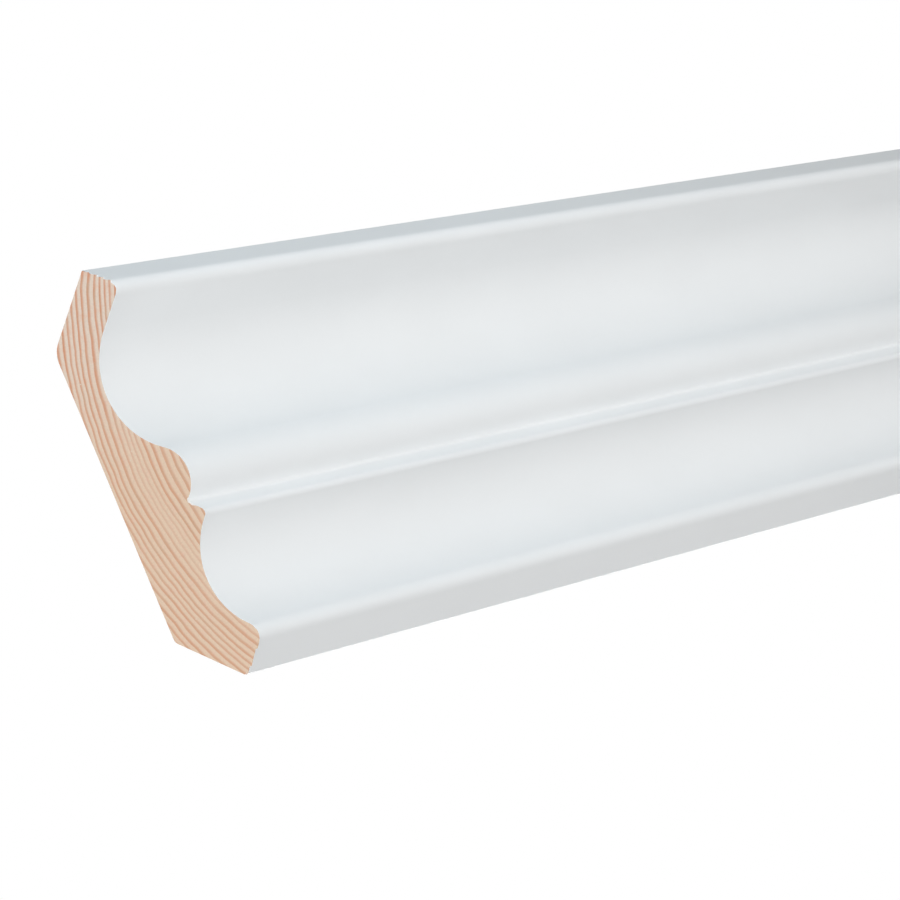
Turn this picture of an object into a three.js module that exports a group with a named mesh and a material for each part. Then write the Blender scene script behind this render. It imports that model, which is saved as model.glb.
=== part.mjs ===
// Cove moulding for the corner between a wall and a ceiling: one length of planed pine, sprung at
// 45 degrees, with a large cove, a bead, a narrow fillet and a smaller cove on its room side.
// Millimetres: +X runs along the length, +Y points into the wall and +Z is up.

import * as THREE from 'three';

// Driving dimensions. In the section, "out" is measured from the wall into the room
// and "down" is measured from the ceiling.
const LENGTH = 550;
const PROJECTION = 68.5; // furthest out, at the foot of the upper lip
const LIP_FLARE = 0.5; // the upper lip starts this much less far out, at the ceiling
const DROP = 66.5; // down the wall, to the underside of the lower lip
const BACK_SETBACK = 48.4; // where the flat back meets the wall and the ceiling face
const UPPER_LIP_HEIGHT = 9.4; // nearly upright face of the upper lip
const SOFFIT_WIDTH = 10.9; // level strip under the upper lip, as far as the large cove
const LARGE_COVE_RADIUS = 18.7;
const LARGE_COVE_OVERSWEEP = THREE.MathUtils.degToRad(10); // turn beyond a quarter circle
const BEAD_RADIUS = 8;
const FILLET_OUT = 30.2; // upright face of the fillet
const SMALL_COVE_RADIUS = 17.5;
const SMALL_COVE_OUT = 28.5; // centre of the small cove
const SMALL_COVE_DOWN = 63.2;

// Eased edges and the paint-filled corner under the bead.
const UPPER_ARRIS_RADIUS = 2.6;
const LOWER_ARRIS_RADIUS = 3;
const FILLET_ARRIS_RADIUS = 1.3;
const QUIRK_RADIUS = 0.8;

const ARC_DIVISIONS = 8;
const QUARTER_TURN = Math.PI / 2;

// Side of a right-angled triangle, from its longest side and its other side.
function leg(longest, other) {
  return Math.sqrt(longest ** 2 - other ** 2);
}

// Angle, in the section, of the direction from one centre to another.
function bearing(from, to) {
  return to.clone().sub(from).angle();
}

// Angle at which a straight line from a point first touches an arc.
function touchAngle(centre, radius, point) {
  const away = centre.clone().sub(point);
  return away.angle() - Math.acos(-radius / away.length());
}

function addArc(outline, centre, radius, startAngle, endAngle, clockwise) {
  outline.absarc(centre.x, centre.y, radius, startAngle, endAngle, clockwise);
}

// Centres of the moulded curves, as (out, down). Each easing arc touches both surfaces beside it.
function curveCentres() {
  const largeCove = new THREE.Vector2(PROJECTION - SOFFIT_WIDTH, UPPER_LIP_HEIGHT + LARGE_COVE_RADIUS);
  const coveToBead = new THREE.Vector2(-Math.cos(LARGE_COVE_OVERSWEEP), Math.sin(LARGE_COVE_OVERSWEEP));
  const bead = coveToBead.multiplyScalar(LARGE_COVE_RADIUS + BEAD_RADIUS).add(largeCove);
  const smallCove = new THREE.Vector2(SMALL_COVE_OUT, SMALL_COVE_DOWN);

  const upperArris = new THREE.Vector2(
    PROJECTION - UPPER_ARRIS_RADIUS,
    UPPER_LIP_HEIGHT - UPPER_ARRIS_RADIUS,
  );
  const quirkOut = FILLET_OUT + QUIRK_RADIUS;
  const quirk = new THREE.Vector2(
    quirkOut,
    bead.y + leg(BEAD_RADIUS + QUIRK_RADIUS, quirkOut - bead.x),
  );
  const filletArrisOut = FILLET_OUT - FILLET_ARRIS_RADIUS;
  const filletArris = new THREE.Vector2(
    filletArrisOut,
    smallCove.y - leg(SMALL_COVE_RADIUS + FILLET_ARRIS_RADIUS, filletArrisOut - smallCove.x),
  );
  const lowerArrisDown = DROP - LOWER_ARRIS_RADIUS;
  const lowerArris = new THREE.Vector2(
    smallCove.x - leg(SMALL_COVE_RADIUS + LOWER_ARRIS_RADIUS, lowerArrisDown - smallCove.y),
    lowerArrisDown,
  );
  return { largeCove, bead, smallCove, upperArris, quirk, filletArris, lowerArris };
}

// Closed outline of the section: wall face, back, ceiling face, then down the room side.
function mouldingSection() {
  const at = curveCentres();
  const ceilingEdge = new THREE.Vector2(PROJECTION - LIP_FLARE, 0);
  const lipFoot = touchAngle(at.upperArris, UPPER_ARRIS_RADIUS, ceilingEdge);
  const outline = new THREE.Shape();
  outline.moveTo(0, DROP);
  outline.lineTo(0, BACK_SETBACK);
  outline.lineTo(BACK_SETBACK, 0);
  outline.lineTo(ceilingEdge.x, ceilingEdge.y);
  addArc(outline, at.upperArris, UPPER_ARRIS_RADIUS, lipFoot, QUARTER_TURN, false);
  addArc(outline, at.largeCove, LARGE_COVE_RADIUS, -QUARTER_TURN, bearing(at.largeCove, at.bead), true);
  addArc(outline, at.bead, BEAD_RADIUS, -LARGE_COVE_OVERSWEEP, bearing(at.bead, at.quirk), false);
  addArc(outline, at.quirk, QUIRK_RADIUS, bearing(at.quirk, at.bead), Math.PI, true);
  addArc(outline, at.filletArris, FILLET_ARRIS_RADIUS, 0, bearing(at.filletArris, at.smallCove), false);
  addArc(
    outline,
    at.smallCove,
    SMALL_COVE_RADIUS,
    bearing(at.smallCove, at.filletArris),
    bearing(at.smallCove, at.lowerArris),
    true,
  );
  addArc(outline, at.lowerArris, LOWER_ARRIS_RADIUS, bearing(at.lowerArris, at.smallCove), QUARTER_TURN, false);
  outline.closePath();
  return outline;
}

// The section carried along the length and turned so that "out" is -Y and "down" is -Z,
// with the origin at the middle of the wall face.
function coveMoulding() {
  const geometry = new THREE.ExtrudeGeometry(mouldingSection(), {
    depth: LENGTH,
    steps: 1,
    curveSegments: ARC_DIVISIONS,
    bevelEnabled: false,
  });
  const whitePaint = new THREE.MeshStandardMaterial({ color: 0xe6eaeb, roughness: 0.4, metalness: 0 });
  const mesh = new THREE.Mesh(geometry, whitePaint);
  mesh.name = 'cove_moulding';
  mesh.rotation.set(-QUARTER_TURN, 0, -QUARTER_TURN, 'ZYX');
  mesh.position.set(-LENGTH / 2, 0, (BACK_SETBACK + DROP) / 2);
  return mesh;
}

const moulding = new THREE.Group();
moulding.add(coveMoulding());

export default moulding;
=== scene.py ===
import math
import bpy
import numpy as np
from mathutils import Matrix, Vector


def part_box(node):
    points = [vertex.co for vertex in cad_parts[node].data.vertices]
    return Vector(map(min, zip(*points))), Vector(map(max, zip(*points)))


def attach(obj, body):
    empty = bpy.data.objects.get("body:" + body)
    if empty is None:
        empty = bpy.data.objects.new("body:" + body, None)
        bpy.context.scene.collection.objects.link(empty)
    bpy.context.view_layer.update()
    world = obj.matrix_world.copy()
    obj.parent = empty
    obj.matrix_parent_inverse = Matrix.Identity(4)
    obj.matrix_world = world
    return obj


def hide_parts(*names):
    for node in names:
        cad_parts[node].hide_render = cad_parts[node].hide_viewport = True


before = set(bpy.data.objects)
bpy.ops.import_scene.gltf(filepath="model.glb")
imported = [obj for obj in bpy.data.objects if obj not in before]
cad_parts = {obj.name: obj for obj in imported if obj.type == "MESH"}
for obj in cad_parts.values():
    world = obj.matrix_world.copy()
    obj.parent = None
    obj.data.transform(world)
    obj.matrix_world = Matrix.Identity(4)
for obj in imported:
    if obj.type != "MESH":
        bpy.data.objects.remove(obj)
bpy.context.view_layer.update()        # one node, cove_moulding, on the body root
mm = 0.001
low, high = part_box("cove_moulding")        # the wall is at high.y, the ceiling at high.z
print("frame loaded, length", round((high.x - low.x) / mm), "mm")


# camera: the photograph looks up and along the piece from its near end, tipped over to the right
photoView = {
    "place": (-1.67027, -0.41303, -0.55666),
    "aim": (low.x, -0.06429, -0.03682),
    "roll": math.radians(66.253),
    "lens": 287.15,
    "sensor": 36.0,
    "farthest": 100,
}


# forward runs from place to aim; level right and up follow, then both turn about forward by the roll
def setCamera(view):
    place = Vector(view["place"])
    forward = (Vector(view["aim"]) - place).normalized()
    levelRight = forward.cross(Vector((0, 0, 1))).normalized()
    levelUp = levelRight.cross(forward)
    up = levelUp * math.cos(view["roll"]) + levelRight * math.sin(view["roll"])
    right = forward.cross(up)
    camera = bpy.data.objects.new("photoCamera", bpy.data.cameras.new("photoCamera"))
    camera.data.lens = view["lens"]
    camera.data.sensor_width = view["sensor"]
    camera.data.clip_end = view["farthest"]
    turned = Matrix((right, up, -forward)).transposed().to_4x4()
    camera.matrix_world = Matrix.Translation(place) @ turned
    bpy.context.scene.collection.objects.link(camera)
    bpy.context.scene.camera = camera


setCamera(photoView)
print("camera set")


# the moulding's section, in millimetres: "out" from the wall, "down" from the ceiling
moulding = {
    "projection": (high.y - low.y) / mm,
    "drop": (high.z - low.z) / mm,
    "lipFlare": 0.5,        # the upper lip starts this much less far out
    "backSetback": 48.4,
    "upperLip": 9.4,
    "soffit": 10.9,
    "largeCove": 18.7,
    "overSweep": math.radians(10),
    "bead": 8.0,
    "filletOut": 30.2,
    "smallCove": 17.5,
    "smallCoveCentre": (28.5, 63.2),
    "upperArris": 2.6,
    "lowerArris": 3.0,
    "filletArris": 1.3,
    "quirk": 0.8,
    "tipEase": 0.35,        # paint rounds the two thin edges
    "upperBackEase": 6.0,   # the back is eased more where it meets the ceiling face
    "lowerBackEase": 2.0,
    "chord": 0.3,           # longest step round a curve
    "straightStep": 0.35,   # longest step along a straight
    "leastStep": 1e-4,      # points that advance less than this across the board are dropped
    "stations": 64,         # sections along the length, closer together at the ends
    "capRows": 14,          # rows across each sawn end
    "sharpEdge": math.radians(35),      # faces that meet at more than this look sharp
}
quarter = math.pi / 2
painted, planed, sawn = range(3)        # finishes, in the order of the piece's materials


# one arc: centre plus radius times (cos, sin) of evenly spaced angles
def arc(centre, radius, start, end):
    count = max(6, math.ceil(abs(end - start) * radius / moulding["chord"])) + 1        # 6 steps at least
    angle = np.linspace(start, end, count)
    return np.array(centre) + radius * np.column_stack([np.cos(angle), np.sin(angle)])


# direction from one centre to another, as an angle
def bearing(start, end):
    return math.atan2(end[1] - start[1], end[0] - start[0])


# missing side of a right-angled triangle: root of longest squared less other squared
def leg(longest, other):
    return math.sqrt(longest ** 2 - other ** 2)


# angle at which a straight from a point first touches an arc:
# bearing less the angle whose cosine is -radius / distance
def touchAngle(centre, radius, point):
    return bearing(point, centre) - math.acos(-radius / math.dist(point, centre))


# centres of the moulded curves; each easing arc touches the two surfaces beside it
def curveCentres(m):
    largeCove = (m["projection"] - m["soffit"], m["upperLip"] + m["largeCove"])
    reach = m["largeCove"] + m["bead"]
    bead = (
        largeCove[0] - reach * math.cos(m["overSweep"]),
        largeCove[1] + reach * math.sin(m["overSweep"]),
    )
    smallCove = m["smallCoveCentre"]
    quirkOut = m["filletOut"] + m["quirk"]
    filletArrisOut = m["filletOut"] - m["filletArris"]
    lowerArrisDown = m["drop"] - m["lowerArris"]
    return {
        "largeCove": largeCove,
        "bead": bead,
        "smallCove": smallCove,
        "upperArris": (m["projection"] - m["upperArris"], m["upperLip"] - m["upperArris"]),
        "quirk": (quirkOut, bead[1] + leg(m["bead"] + m["quirk"], quirkOut - bead[0])),
        "filletArris": (
            filletArrisOut,
            smallCove[1] - leg(m["smallCove"] + m["filletArris"], filletArrisOut - smallCove[0]),
        ),
        "lowerArris": (
            smallCove[0] - leg(m["smallCove"] + m["lowerArris"], lowerArrisDown - smallCove[1]),
            lowerArrisDown,
        ),
    }


# room side from the ceiling edge to the wall edge: arcs in turn, with the straights as gaps between them
def roomSide(m):
    at = curveCentres(m)
    ease = m["tipEase"]
    ceilingEdge = m["projection"] - m["lipFlare"]
    lipTurn = touchAngle(at["upperArris"], m["upperArris"], (ceilingEdge, 0))
    return np.vstack([
        arc((ceilingEdge - ease, ease), ease, -quarter / 2, lipTurn),
        arc(at["upperArris"], m["upperArris"], lipTurn, quarter),
        arc(at["largeCove"], m["largeCove"], -quarter, -math.pi - m["overSweep"]),
        arc(at["bead"], m["bead"], -m["overSweep"], bearing(at["bead"], at["quirk"])),
        arc(at["quirk"], m["quirk"], bearing(at["quirk"], at["bead"]), -math.pi),
        arc(at["filletArris"], m["filletArris"], 0, bearing(at["filletArris"], at["smallCove"])),
        arc(
            at["smallCove"], m["smallCove"],
            bearing(at["smallCove"], at["filletArris"]),
            bearing(at["smallCove"], at["lowerArris"]) - 2 * math.pi,
        ),
        arc(at["lowerArris"], m["lowerArris"], bearing(at["lowerArris"], at["smallCove"]), quarter),
        arc((ease, m["drop"] - ease), ease, quarter, 1.5 * quarter),
    ])


# hidden side between the same two edges: ceiling face, 45 degree back and wall face, with eased corners
def hiddenSide(m):
    ease = m["tipEase"]
    upper, lower = m["upperBackEase"], m["lowerBackEase"]
    slant = math.tan(quarter / 4)
    return np.vstack([
        arc((m["projection"] - m["lipFlare"] - ease, ease), ease, -quarter / 2, -quarter),
        arc((m["backSetback"] + upper * slant, upper), upper, -quarter, -1.5 * quarter),
        arc((lower, m["backSetback"] + lower * slant), lower, -1.5 * quarter, -2 * quarter),
        arc((ease, m["drop"] - ease), ease, -2 * quarter, -2.5 * quarter),
    ])


# place across the board, from the ceiling edge to the wall edge: (down - out) over root two
def acrossBoard(points):
    return (points[:, 1] - points[:, 0]) / math.sqrt(2)


# long straights get points in between: each step is cut into equal parts no longer than asked
def fillIn(points, longest):
    step = np.diff(points, axis=0)
    parts = np.maximum(np.ceil(np.linalg.norm(step, axis=1) / longest), 1).astype(int)
    which = np.repeat(np.arange(len(step)), parts)
    share = (np.arange(parts.sum()) - np.repeat(np.cumsum(parts) - parts, parts)) / parts[which]
    return np.vstack([points[which] + share[:, None] * step[which], points[-1:]])


# room points, and for each the hidden point at the same place across the board
def sectionPoints(m):
    room = fillIn(roomSide(m), m["straightStep"])
    room = room[np.r_[True, np.diff(acrossBoard(room)) > m["leastStep"]]]
    back = fillIn(hiddenSide(m), m["straightStep"])
    place, backPlace = acrossBoard(room), acrossBoard(back)
    hidden = np.column_stack([np.interp(place, backPlace, back[:, k]) for k in (0, 1)])
    return room, hidden


# sections along the length: middle less half the length times the cosine of evenly spaced turns
def sectionPlaces(m):
    turn = np.linspace(0, math.pi, m["stations"])
    return (low.x + high.x) / 2 - (high.x - low.x) / 2 * np.cos(turn)


# distance from each point to the nearest stretch of the painted line, and the number of that stretch
def paintedDistance(points, line):
    start, step = line[:-1], np.diff(line, axis=0)
    offset = points[:, None] - start[None]
    along = np.clip((offset * step).sum(2) / (step ** 2).sum(1), 0, 1)
    gap = np.linalg.norm(offset - along[..., None] * step, axis=2)
    return gap.min(1), gap.argmin(1)


# section points to the part's own axes: out is -Y, down is -Z below the ceiling
def toFrame(x, points):
    return np.column_stack([x, high.y - points[:, 0] * mm, high.z - points[:, 1] * mm])


# the sawn edges, in mm: paint dragged over them and pooled in the quirk, and fibres torn along both lips
sawnEdge = {
    "film": 0.07,
    "quirkPool": 0.75,
    "poolSpread": 0.8,
    "tear": ((0.62, 0.42), (0.45, 0.35)),       # height of a tooth, upper and lower lip: near end, far end
    "pitch": ((1.85, 4.2), (1.7, 3.1)),         # from tooth to tooth, in the same order
    "inside": (0.72, -0.5),     # share of a tooth that lies inside the true edge: upper, lower
    "fade": (0.5, 0.6),         # teeth come in and die away over these widths
    "firstTooth": 0.5,          # height at the ceiling, as a share of that at the upper arris
    "roundArris": 0.87,         # teeth go this far round the lower arris, as a share of its radius
    "bareTear": 0.03,           # teeth that stand out by more than this have lost their paint
}


# film plus a round pool at the quirk, for points of the painted line
def paintBurr(line):
    quirk = np.array(curveCentres(moulding)["quirk"])
    poolAndHighlight = np.exp(-((line - quirk) ** 2).sum(1) / sawnEdge["poolSpread"] ** 2)
    return sawnEdge["film"] + sawnEdge["quirkPool"] * poolAndHighlight


# torn fibres along one lip: a saw tooth that grows slowly and breaks off, less the share that lies inside,
# fading at both edges of the lip
def tornTeeth(along, width, pitch, inside):
    first, last = sawnEdge["fade"]
    fade = np.clip(along / first, 0, 1) * np.clip((width - along) / last, 0, 1)
    return fade * (along / pitch % 1 - inside)


# upper lip torn in the out direction, more towards its arris, and lower lip torn downwards as far as half of
# the way up its arris, as (out, down) shifts of the room points
def tearOut(room, tear, pitch):
    out, down = room.T
    lip, radius = moulding["upperLip"], moulding["lowerArris"]
    lowerEnd = curveCentres(moulding)["lowerArris"][0] + sawnEdge["roundArris"] * radius
    onLowerLip = down > moulding["drop"] - radius / 2
    first = sawnEdge["firstTooth"]
    upperInside, lowerInside = sawnEdge["inside"]
    upper = tear[0] * (first + (1 - first) * down / lip) * tornTeeth(down, lip, pitch[0], upperInside)
    lower = tear[1] * tornTeeth(lowerEnd - out, lowerEnd, pitch[1], lowerInside)
    return np.column_stack([upper, lower * onLowerLip])


# long sides: the ring at every section, with torn room points on both end rings;
# also how far each point stands out of the true section
def longSides(room, ring, places):
    count = len(room)
    rings = np.tile(ring, (len(places), 1, 1))
    torn = np.zeros(rings.shape[:2])
    for end, tear, pitch in zip((0, -1), sawnEdge["tear"], sawnEdge["pitch"]):
        shift = tearOut(room, tear, pitch)
        rings[end, :count] += shift
        torn[end, :count] = shift.max(1)
    return toFrame(np.repeat(places, len(ring)), rings.reshape(-1, 2)), torn


# a quad between neighbours on the ring and the next section: painted on the room points, planed past them,
# and sawn where a corner stands out
def sideQuads(torn, count):
    sections, size = torn.shape
    section, point = np.meshgrid(np.arange(sections - 1), np.arange(size), indexing="ij")
    here, beside = section * size + point, section * size + (point + 1) % size
    quads = np.stack([here, beside, beside + size, here + size], -1).reshape(-1, 4)
    tornQuad = np.maximum(torn, np.roll(torn, -1, 1))
    tornQuad = np.maximum(tornQuad[:-1], tornQuad[1:]) > sawnEdge["bareTear"]
    finish = np.where(point < count - 1, np.where(tornQuad, sawn, painted), planed)
    return quads, finish.ravel()


# one sawn end: a ruled grid with the hidden side as first row and the room side as last, whose outer columns
# shrink to the two thin edges; its quads, and the triangles in those columns
def endFaces(rows, count, size, firstRing, firstInner):
    table = np.empty((rows + 1, count), int)
    table[-1] = firstRing + np.arange(count)
    table[0] = firstRing + np.r_[0, np.arange(size - 1, count - 1, -1), count - 1]
    table[1:-1, 1:-1] = firstInner + np.arange((rows - 1) * (count - 2)).reshape(rows - 1, -1)
    table[:, 0] = firstRing
    table[:, -1] = firstRing + count - 1
    grid = np.stack([table[:-1, :-1], table[:-1, 1:], table[1:, 1:], table[1:, :-1]], -1)
    tips = np.vstack([grid[:, 0][:, [0, 1, 2]], grid[:, -1][:, [0, 1, 3]]])
    return grid[:, 1:-1].reshape(-1, 4), tips


# a mesh from points and faces, smooth but for its sharp edges, with a finish for each face
# and named values for each point
def makePiece(name, points, faces, finish, values):
    mesh = bpy.data.meshes.new(name)
    mesh.from_pydata(points.tolist(), [], faces)
    mesh.polygons.foreach_set("material_index", finish.astype(np.int32))
    mesh.polygons.foreach_set("use_smooth", np.ones(len(finish), bool))
    mesh.set_sharp_from_angle(angle=moulding["sharpEdge"])
    for layer, numbers in values.items():
        data = mesh.attributes.new(layer, "FLOAT", "POINT").data
        data.foreach_set("value", numbers.astype(np.float32))
    mesh.update()
    mesh.validate()
    made = bpy.data.objects.new(name, mesh)
    bpy.context.scene.collection.objects.link(made)
    return made


# the whole piece: long sides, and on each end inner points at even shares of the way from the hidden side to
# the room side; each point keeps its gap to the painted line and the reach of the paint over it
def buildMoulding(m):
    room, hidden = sectionPoints(m)
    ring = np.vstack([room, hidden[-2:0:-1]])
    places = sectionPlaces(m)
    count, size, rows = len(room), len(ring), m["capRows"]
    sides, torn = longSides(room, ring, places)
    quads, finish = sideQuads(torn, count)

    share = np.linspace(0, 1, rows + 1)[1:-1, None, None]
    inner = (hidden[1:-1] + share * (room - hidden)[1:-1]).reshape(-1, 2)
    ends = [toFrame(np.full(len(inner), x), inner) for x in (places[0], places[-1])]
    nearQuads, nearTips = endFaces(rows, count, size, 0, len(sides))
    farQuads, farTips = endFaces(rows, count, size, len(sides) - size, len(sides) + len(inner))
    quads = np.vstack([quads, nearQuads, farQuads[:, ::-1]])
    tips = np.vstack([nearTips, farTips[:, ::-1]])
    faces = quads.tolist() + tips.tolist()
    finish = np.concatenate([finish, np.full(len(faces) - len(finish), sawn)])

    ringGap, ringNear = paintedDistance(ring, room)
    innerGap, innerNear = paintedDistance(inner, room)
    burr = paintBurr(room)
    values = {
        "paintGap": np.concatenate([(ringGap + torn).ravel(), innerGap, innerGap]),
        "paintBurr": np.concatenate([np.tile(burr[ringNear], len(places)), np.tile(burr[innerNear], 2)]),
    }
    return makePiece("painted_cove_moulding", np.vstack([sides] + ends), faces, finish, values)


# a node with its settings, its inputs given as plain values or as sockets to link
def put(tree, kind, inputs=None, **settings):
    made = tree.nodes.new("ShaderNode" + kind)
    for name, value in settings.items():
        setattr(made, name, value)
    for name, value in (inputs or {}).items():
        if isinstance(value, bpy.types.NodeSocket):
            tree.links.new(value, made.inputs[name])
        else:
            made.inputs[name].default_value = value
    return made


# arithmetic on one to three values
def calc(tree, operation, *values):
    return put(tree, "Math", dict(enumerate(values)), operation=operation).outputs[0]


# smooth step: 0 up to start and 1 past end, or the other way down where end is the lower, with no kink
def smooth(tree, value, start, end):
    inputs = {"Value": value, "From Min": start, "From Max": end}
    return put(tree, "MapRange", inputs, interpolation_type="SMOOTHSTEP").outputs["Result"]


# one colour over another by a share
def blendColours(tree, share, under, over):
    return put(tree, "Mix", {0: share, 6: under, 7: over}, data_type="RGBA").outputs[2]


# a place times a number for each axis
def stretched(tree, place, stretch):
    return put(tree, "VectorMath", {0: place, 1: stretch}, operation="MULTIPLY").outputs[0]


# cloudy noise around 0.5 on the part's own millimetres, drawn out by a stretch for each axis
def cloud(tree, place, stretch, detail=2.0, roughness=0.5):
    scaled = stretched(tree, place, stretch)
    inputs = {"Vector": scaled, "Scale": 1.0, "Detail": detail, "Roughness": roughness}
    return put(tree, "TexNoise", inputs).outputs["Fac"]


cloudRange = (0.3, 0.7)     # most of a cloud lies between these


# even spread: a cloud's range turned evenly into that between two ends
def spread(tree, value, lowest, highest):
    inputs = {"Value": value, "To Min": lowest, "To Max": highest}
    inputs["From Min"], inputs["From Max"] = cloudRange
    return put(tree, "MapRange", inputs).outputs["Result"]


# distance to the nearest of many scattered spots, one or so for each unit of a place times a scale
def spots(tree, place, scale):
    return put(tree, "TexVoronoi", {"Vector": place, "Scale": scale}).outputs["Distance"]


# normal tilted by the slope of a height times a distance in metres, weakened by a strength
def bumped(tree, height, strength, distance):
    inputs = {"Strength": strength, "Distance": distance, "Height": height}
    return put(tree, "Bump", inputs).outputs[0]


# the part's own coordinates in millimetres: metres over the size of one
def millimetres(tree):
    own = put(tree, "TexCoord").outputs["Object"]
    return put(tree, "VectorMath", {0: own, "Scale": 1 / mm}, operation="SCALE").outputs[0]


# values that the piece keeps at its points, by name
def kept(tree, name):
    return put(tree, "Attribute", attribute_name=name).outputs["Fac"]


# an empty material: one shader led straight to the surface
def newMaterial(name):
    made = bpy.data.materials.new(name)
    made.use_nodes = True
    tree = made.node_tree
    tree.nodes.clear()
    output = put(tree, "OutputMaterial")
    shader = put(tree, "BsdfPrincipled")
    tree.links.new(shader.outputs[0], output.inputs["Surface"])
    return made, tree, shader


# here and below, a pattern is in waves for each mm along, into the wall and up,
# and a bump is a strength and a distance
paint = {
    "colour": (0.827, 0.845, 0.851, 1),
    "dimmest": 0.985,       # share of the colour that the blotches keep
    "poolAndHighlight": (0.95, 0.9, 0.83, 1),       # thick drop in the quirk at the sawn edge: a real pool of paint, coloured creamier and brighter than the paint as a painted highlight
    "poolHighlightReach": (0.15, 0.5),       # paint takes on that colour where it reaches this many mm over the edge
    "roughness": (0.4, 0.48),
    "blotch": (0.02, 0.06, 0.06),
    "peel": (0.7, 0.9, 0.9),
    "peelDetail": 1.0,
    "grain": (0.03, 1.6, 1.6),
    "grainDetail": 3.0,
    "grainHeight": 0.6,     # against a peel of 1
    "bump": (0.25, 0.02 * mm),
}


# satin white: colour varies by a percent or so, with a faint orange peel and the grain showing through
def whitePaint():
    made, tree, shader = newMaterial("whitePaint")
    place = millimetres(tree)
    blotch = smooth(tree, cloud(tree, place, paint["blotch"]), *cloudRange)
    dimmer = tuple(paint["dimmest"] * c for c in paint["colour"][:3]) + (1,)
    tone = blendColours(tree, blotch, dimmer, paint["colour"])
    peel = cloud(tree, place, paint["peel"], paint["peelDetail"])
    grain = cloud(tree, place, paint["grain"], paint["grainDetail"])
    height = calc(tree, "MULTIPLY_ADD", grain, paint["grainHeight"], peel)
    smoothest, roughest = paint["roughness"]
    sheen = put(tree, "MapRange", {"Value": grain, "To Min": smoothest, "To Max": roughest})
    tree.links.new(tone, shader.inputs["Base Color"])
    tree.links.new(sheen.outputs["Result"], shader.inputs["Roughness"])
    tree.links.new(bumped(tree, height, *paint["bump"]), shader.inputs["Normal"])
    return made


# growth rings: radii, widths and lengths in mm
growth = {
    "pithOut": 96.5,        # where the rings are centred, at the near end
    "pithDown": 89.1,
    "pithSlope": (0.0095, 0.0075),      # how the pith moves over for each mm of length
    "waver": 1.6,           # slow and quick wandering of the radius
    "waverPattern": (0.006, 0.08, 0.08),
    "ripple": 0.3,
    "ripplePattern": (0.02, 0.35, 0.35),
    "ringWidth": 1.506,
    "firstRing": 80.95,     # at this radius a ring is
    "firstPart": 0.85,      # this far through
    "swings": ((0.15, 9.46, 86.5), (0.32, 27.6, 72.3)),     # rings gained and lost: most, length, start
    "poorYears": (85.5, 92.0),      # one ring more fits between these radii, and the rings there are faint
    "poorLoss": 2.4,        # late wood loses up to a quarter of this there
    "lateRise": (0.36, 0.78),       # late wood comes in and ends over these parts of a ring
    "lateFall": (1.0, 0.93),
    "lateStrength": (0.62, 0.2),        # least, and how much chance adds
    "ceilingGain": 0.15,            # late wood is stronger by this share at the ceiling
    "fadePattern": (0.01, 0.12, 0.12),
    "fadeRange": (-0.2, 0.5),
    "falseRise": (0.18, 0.28),      # thin false rings in the early wood
    "falseFall": (0.42, 0.3),
    "falseChance": (0.6, 2.2),      # chance has to pass the first, and the second keeps them faint
}


# one swing: most times the sine of a value past a start, over a length
def swing(tree, value, most, length, start):
    turn = calc(tree, "MULTIPLY_ADD", value, 2 * math.pi / length, -2 * math.pi * start / length)
    return calc(tree, "MULTIPLY", calc(tree, "SINE", turn), most)


# distance from a pith that moves over along the length, plus two clouds less their mean
def ringRadius(tree, place):
    axes = put(tree, "SeparateXYZ", {0: place}).outputs
    along = calc(tree, "SUBTRACT", axes["X"], low.x / mm)
    slopeY, slopeZ = growth["pithSlope"]
    pithY = calc(tree, "MULTIPLY_ADD", along, slopeY, high.y / mm - growth["pithOut"])
    pithZ = calc(tree, "MULTIPLY_ADD", along, slopeZ, high.z / mm - growth["pithDown"])
    sideY = calc(tree, "SUBTRACT", axes["Y"], pithY)
    sideZ = calc(tree, "SUBTRACT", axes["Z"], pithZ)
    squared = calc(tree, "MULTIPLY_ADD", sideY, sideY, calc(tree, "MULTIPLY", sideZ, sideZ))
    waver = cloud(tree, place, growth["waverPattern"])
    ripple = cloud(tree, place, growth["ripplePattern"])
    radius = calc(tree, "MULTIPLY_ADD", waver, growth["waver"], calc(tree, "SQRT", squared))
    radius = calc(tree, "MULTIPLY_ADD", ripple, growth["ripple"], radius)
    return calc(tree, "SUBTRACT", radius, (growth["waver"] + growth["ripple"]) / 2)


# strength of late wood: chance from ring to ring, times a loss in the poor years, times a cloud,
# times a gain towards the ceiling
def lateStrength(tree, place, toWall, chance, step):
    least, added = growth["lateStrength"]
    strength = calc(tree, "MULTIPLY_ADD", chance, added, least)
    poor = calc(tree, "MULTIPLY", step, calc(tree, "SUBTRACT", 1.0, step))
    poor = calc(tree, "MULTIPLY", poor, toWall)
    strength = calc(tree, "MULTIPLY", strength, calc(tree, "MULTIPLY_ADD", poor, -growth["poorLoss"], 1.0))
    fading = cloud(tree, place, growth["fadePattern"])
    strength = calc(tree, "MULTIPLY", strength, smooth(tree, fading, *growth["fadeRange"]))
    gain = growth["ceilingGain"]
    return calc(tree, "MULTIPLY", strength, calc(tree, "MULTIPLY_ADD", toWall, -gain, 1 + gain))


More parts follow.
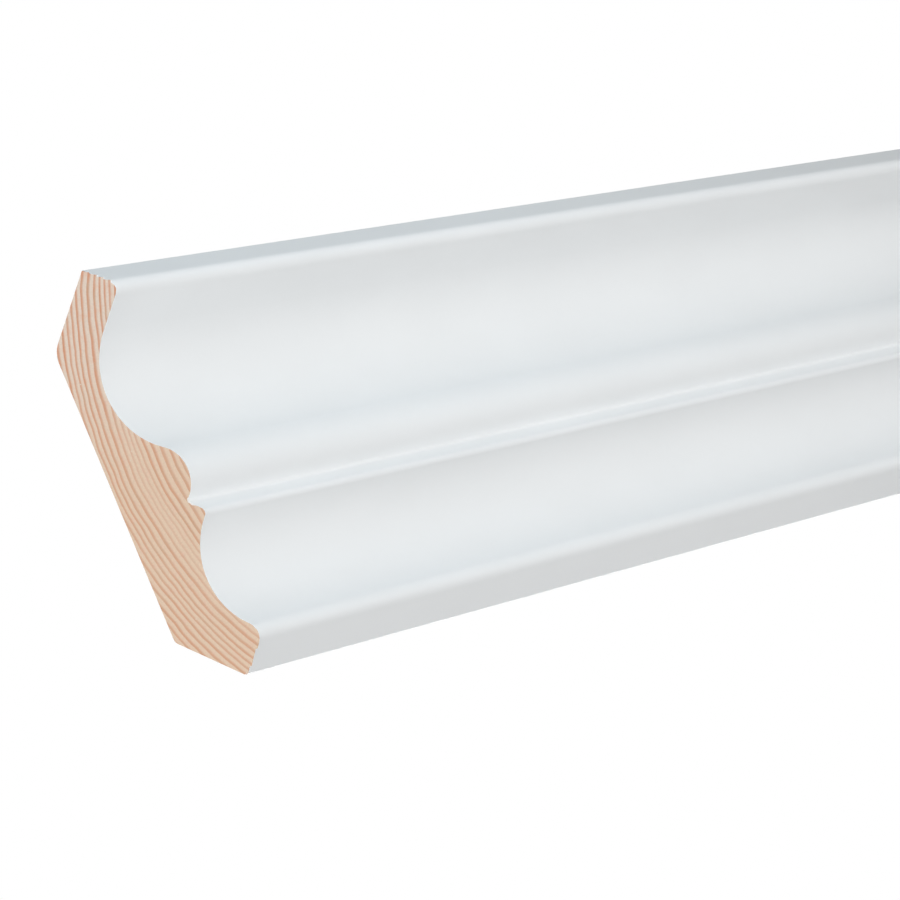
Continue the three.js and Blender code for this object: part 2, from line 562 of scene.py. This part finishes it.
# rings: radius over the ring width, plus two slow swings and a step of one ring;
# late wood fills the last part of each ring by its strength, and some rings have a faint false one
def growthRings(tree, place, toWall):
    radius = ringRadius(tree, place)
    width = growth["ringWidth"]
    start = growth["firstPart"] - growth["firstRing"] / width
    rings = calc(tree, "MULTIPLY_ADD", radius, 1 / width, start)
    for most, length, first in growth["swings"]:
        rings = calc(tree, "ADD", rings, swing(tree, radius, most, length, first))
    step = smooth(tree, radius, *growth["poorYears"])
    rings = calc(tree, "ADD", rings, step)
    part = calc(tree, "FRACT", rings)
    chance = put(tree, "TexWhiteNoise", {"W": calc(tree, "FLOOR", rings)}, noise_dimensions="1D")
    strength = lateStrength(tree, place, toWall, chance.outputs["Value"], step)
    rising = smooth(tree, part, *growth["lateRise"])
    falling = smooth(tree, part, *growth["lateFall"])
    late = calc(tree, "MULTIPLY", calc(tree, "MULTIPLY", rising, falling), strength)
    falseRising = smooth(tree, part, *growth["falseRise"])
    falseFalling = smooth(tree, part, *growth["falseFall"])
    falseRing = calc(tree, "MULTIPLY", falseRising, falseFalling)
    second = put(tree, "SeparateColor", {0: chance.outputs["Color"]}).outputs["Green"]
    falseRing = calc(tree, "MULTIPLY", falseRing, smooth(tree, second, *growth["falseChance"]))
    return calc(tree, "ADD", late, falseRing)


pine = {
    "earlyWood": ((0.785, 0.66, 0.555, 1), (0.772, 0.588, 0.44, 1)),        # to the ceiling, to the wall
    "lateWood": ((0.65, 0.285, 0.16, 1), (0.64, 0.32, 0.19, 1)),
    "toWall": (118.0, 50.0),        # mm of height less depth, from the first colours to the second
    "blush": (0.79, 0.555, 0.43, 1),        # early wood that is pinker in places
    "blushPattern": (0.04, 0.45, 0.45),
    "blushRange": (0.5, 0.85),
    "brownWood": (0.59, 0.34, 0.21, 1),     # late wood that has dulled
    "brownPattern": (0.03, 0.25, 0.25),
    "brownRange": (0.45, 0.75),
}


# share from the ceiling edge to the middle of the board, by height less depth
def wallShare(tree, place):
    axes = put(tree, "SeparateXYZ", {0: place}).outputs
    return smooth(tree, calc(tree, "SUBTRACT", axes["Z"], axes["Y"]), *pine["toWall"])


# wood colour: early to late wood by the ring, greyer towards the ceiling edge, pinker or browner in places,
# times a mottle
def woodColour(tree, place, toWall, late, mottle):
    early = blendColours(tree, toWall, *pine["earlyWood"])
    warmed = smooth(tree, cloud(tree, place, pine["blushPattern"]), *pine["blushRange"])
    early = blendColours(tree, warmed, early, pine["blush"])
    dark = blendColours(tree, toWall, *pine["lateWood"])
    dulled = smooth(tree, cloud(tree, place, pine["brownPattern"]), *pine["brownRange"])
    dark = blendColours(tree, dulled, dark, pine["brownWood"])
    wood = blendColours(tree, late, early, dark)
    return put(tree, "VectorMath", {0: wood, "Scale": mottle}, operation="SCALE").outputs[0]


sawnEnd = {
    "fibreEnds": (2.2, 2.2, 2.2),
    "fibreDetail": (4.0, 0.7),      # detail and roughness of the cloud
    "mottle": (0.94, 1.06),
    "canal": (0.77, 0.63, 0.51, 1),     # resin canals, cut across
    "canalScale": 0.3,
    "canalSize": (0.07, 0.03),
    "ragged": (1.4, 1.4, 1.4),
    "filmEdge": 0.05,       # mm over which the paint film thins out, each way
    "sawTurn": math.radians(25),
    "sawMarks": (0, 3.0, 0.06),
    "sawHeight": 0.4,       # against fibre ends of 1
    "lateHeight": 0.15,
    "bump": (0.3, 0.05 * mm),
    "roughness": 0.75,
    "specular": 0.3,
}


# paint film on the sawn end: wherever the gap to the painted line is less than the burr times a ragged
# cloud, which is doubled to be 1 on average
def filmOver(tree, place, wood):
    gap = kept(tree, "paintGap")
    burr = kept(tree, "paintBurr")
    ragged = cloud(tree, place, sawnEnd["ragged"])
    reach = calc(tree, "MULTIPLY", burr, calc(tree, "MULTIPLY", ragged, 2.0))
    edge = sawnEnd["filmEdge"]
    film = smooth(tree, calc(tree, "SUBTRACT", reach, gap), -edge, edge)
    # where the burr is thick the film takes a creamier, brighter colour: the real pooled drop plus a painted
    # highlight on it
    pooledAndHighlight = smooth(tree, burr, *paint["poolHighlightReach"])
    return blendColours(tree, film, wood, blendColours(tree, pooledAndHighlight, paint["colour"], paint["poolAndHighlight"]))


# sawn end: rings in section with mottled fibre ends, pale resin canals, a film of paint at its edge,
# and faint straight saw marks
def sawnPine():
    made, tree, shader = newMaterial("sawnPine")
    place = millimetres(tree)
    toWall = wallShare(tree, place)
    late = growthRings(tree, place, toWall)
    fibreEnds = cloud(tree, place, sawnEnd["fibreEnds"], *sawnEnd["fibreDetail"])
    wood = woodColour(tree, place, toWall, late, spread(tree, fibreEnds, *sawnEnd["mottle"]))
    canal = smooth(tree, spots(tree, place, sawnEnd["canalScale"]), *sawnEnd["canalSize"])
    wood = blendColours(tree, canal, wood, sawnEnd["canal"])
    turned = put(tree, "Mapping", {"Vector": place, "Rotation": (sawnEnd["sawTurn"], 0, 0)}).outputs[0]
    sawMarks = cloud(tree, turned, sawnEnd["sawMarks"])
    height = calc(tree, "MULTIPLY_ADD", sawMarks, sawnEnd["sawHeight"], fibreEnds)
    height = calc(tree, "MULTIPLY_ADD", late, sawnEnd["lateHeight"], height)
    tree.links.new(filmOver(tree, place, wood), shader.inputs["Base Color"])
    tree.links.new(bumped(tree, height, *sawnEnd["bump"]), shader.inputs["Normal"])
    shader.inputs["Roughness"].default_value = sawnEnd["roughness"]
    shader.inputs["Specular IOR Level"].default_value = sawnEnd["specular"]
    return made


planedBack = {
    "fibre": (0.02, 2.5, 2.5),
    "fibreDetail": (3.0, 0.6),
    "mottle": (0.9, 1.04),
    "resin": (0.5, 0.31, 0.19, 1),      # resin canals, cut lengthwise
    "streaks": (0.02, 0.7, 0.7),
    "streakSize": (0.14, 0.02),
    "ragged": (0.15, 0.5, 0.5),
    "raggedDetail": 3.0,
    "overspray": 3.0,       # farthest that paint reaches, in mm
    "sprayEdge": (0.2, 0.9),
    "cutterPitch": 1.7,
    "cutterHeight": 0.12,       # against fibres of 1
    "bump": (0.4, 0.05 * mm),
    "roughness": 0.7,
    "specular": 0.25,
}


# overspray: paint wherever a ragged cloud times its farthest reach is more than the gap to the painted line
def sprayOver(tree, place, wood):
    ragged = cloud(tree, place, planedBack["ragged"], planedBack["raggedDetail"])
    reach = calc(tree, "MULTIPLY", ragged, planedBack["overspray"])
    past = calc(tree, "SUBTRACT", reach, kept(tree, "paintGap"))
    return blendColours(tree, smooth(tree, past, *planedBack["sprayEdge"]), wood, paint["colour"])


# planed back and bevels: the same rings cut lengthwise, fibre streaks, short streaks of resin,
# overspray at the painted edges, and the cutter's even ripple along the length
def planedPine():
    made, tree, shader = newMaterial("planedPine")
    place = millimetres(tree)
    toWall = wallShare(tree, place)
    late = growthRings(tree, place, toWall)
    fibre = cloud(tree, place, planedBack["fibre"], *planedBack["fibreDetail"])
    wood = woodColour(tree, place, toWall, late, spread(tree, fibre, *planedBack["mottle"]))
    drawnOut = stretched(tree, place, planedBack["streaks"])
    streak = smooth(tree, spots(tree, drawnOut, 1.0), *planedBack["streakSize"])
    wood = blendColours(tree, streak, wood, planedBack["resin"])
    along = put(tree, "SeparateXYZ", {0: place}).outputs["X"]
    ripple = swing(tree, along, planedBack["cutterHeight"], planedBack["cutterPitch"], 0)
    height = calc(tree, "ADD", calc(tree, "ADD", fibre, late), ripple)
    tree.links.new(sprayOver(tree, place, wood), shader.inputs["Base Color"])
    tree.links.new(bumped(tree, height, *planedBack["bump"]), shader.inputs["Normal"])
    shader.inputs["Roughness"].default_value = planedBack["roughness"]
    shader.inputs["Specular IOR Level"].default_value = planedBack["specular"]
    return made


piece = buildMoulding(moulding)
for made in (whitePaint(), planedPine(), sawnPine()):
    piece.data.materials.append(made)
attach(piece, "root")
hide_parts("cove_moulding")
print("moulding dressed,", len(piece.data.polygons), "faces")


# floor and backdrop, in metres
stage = {
    "floorDrop": 2.2,        # floor this far below the origin, well under the camera
    "floorRadius": 5.0,
    "floorHub": 0.02,       # innermost ring, as a share of the radius
    "floorRings": 12,
    "floorSpokes": 64,
    "floorFade": (4.9, 2.0),        # the floor comes in between these distances from its middle
    "floorColour": (0.85, 0.85, 0.85, 1),
    "floorRoughness": 0.8,
    "white": (1, 1, 1, 1),
    "backdrop": 1.0,
    "ambient": 0.16,
}


# pale floor finish: one grey all over, whose opacity is a smooth step of the distance from the middle
def floorFinish():
    made, tree, shader = newMaterial("paleFloor")
    shader.inputs["Base Color"].default_value = stage["floorColour"]
    shader.inputs["Roughness"].default_value = stage["floorRoughness"]
    own = put(tree, "TexCoord").outputs["Object"]
    flat = stretched(tree, own, (1, 1, 0))
    distance = put(tree, "VectorMath", {0: flat}, operation="LENGTH").outputs["Value"]
    tree.links.new(smooth(tree, distance, *stage["floorFade"]), shader.inputs["Alpha"])
    return made


# pale floor: a disc of rings and spokes, radius times (cos, sin) of evenly spaced turns, closed at its hub
def makeFloor():
    rings, spokes = stage["floorRings"], stage["floorSpokes"]
    share = np.linspace(stage["floorHub"], 1, rings)
    turn = np.linspace(0, 2 * math.pi, spokes, endpoint=False)
    radius, angle = np.meshgrid(stage["floorRadius"] * share, turn, indexing="ij")
    height = np.full(radius.shape, -stage["floorDrop"])
    points = np.stack([radius * np.cos(angle), radius * np.sin(angle), height], -1).reshape(-1, 3)
    ring, spoke = np.meshgrid(np.arange(rings - 1), np.arange(spokes), indexing="ij")
    here, beside = ring * spokes + spoke, ring * spokes + (spoke + 1) % spokes
    faces = np.stack([here, here + spokes, beside + spokes, beside], -1).reshape(-1, 4).tolist()
    mesh = bpy.data.meshes.new("paleFloor")
    mesh.from_pydata(points.tolist(), [], faces + [list(range(spokes))])
    mesh.materials.append(floorFinish())
    floor = bpy.data.objects.new("paleFloor", mesh)
    bpy.context.scene.collection.objects.link(floor)


# white backdrop for the camera, and a dimmer even light on the piece
def makeWorld():
    world = bpy.data.worlds.new("studio")
    world.use_nodes = True
    tree = world.node_tree
    tree.nodes.clear()
    seen = put(tree, "Background", {"Color": stage["white"], "Strength": stage["backdrop"]})
    lit = put(tree, "Background", {"Color": stage["white"], "Strength": stage["ambient"]})
    ray = put(tree, "LightPath")
    both = put(tree, "MixShader", {0: ray.outputs["Is Camera Ray"], 1: lit.outputs[0], 2: seen.outputs[0]})
    output = put(tree, "OutputWorld")
    tree.links.new(both.outputs[0], output.inputs["Surface"])
    bpy.context.scene.world = world


# soft square lights: front and under shape the moulded face, the others light the upper lip, both ends,
# the back and the ceiling face
middle = (-0.05, -0.03, 0.02)
panels = {
    "frontPanel": {"place": (0, -0.96, -0.656), "target": middle, "size": 1.2, "watts": 11.04},
    "underPanel": {"place": (-0.5, -0.328, -1.091), "target": middle, "size": 1.2, "watts": 3.13},
    "lipPanel": {
        "place": (-0.3, -0.604, 0.304),
        "target": (-0.15, -0.06, 0.05),
        "size": 0.5,
        "watts": 1.21,
        "colour": (0.69, 0.88, 1),
    },
    "nearPanel": {"place": (-1.7, 0.62, 0), "target": (low.x, -0.03, 0.02), "size": 1.0, "watts": 20.3},
    "rearPanel": {"place": (0.6, 1.6, 0.4), "target": (0, 0, 0), "size": 1.5, "watts": 3},
    "topPanel": {"place": (0.3, 0.7, 1.6), "target": (0, -0.02, 0.03), "size": 1.4, "watts": 18},
    "farPanel": {"place": (1.7, 0.7, 0.2), "target": (high.x, -0.03, 0.02), "size": 0.8, "watts": 16},
}


# a square soft light at a place, turned to face along target less place
def softLight(name, place, target, size, watts, colour=(1, 1, 1)):
    light = bpy.data.lights.new(name, "AREA")
    light.shape = "SQUARE"
    light.size = size
    light.energy = watts
    light.color = colour
    lamp = bpy.data.objects.new(name, light)
    lamp.location = place
    lamp.rotation_euler = (Vector(target) - Vector(place)).to_track_quat("-Z", "Y").to_euler()
    lamp.visible_camera = False
    bpy.context.scene.collection.objects.link(lamp)


makeFloor()
makeWorld()
for name, panel in panels.items():
    softLight(name, **panel)
bpy.context.scene.view_settings.view_transform = "Standard"
print("floor and lights set")
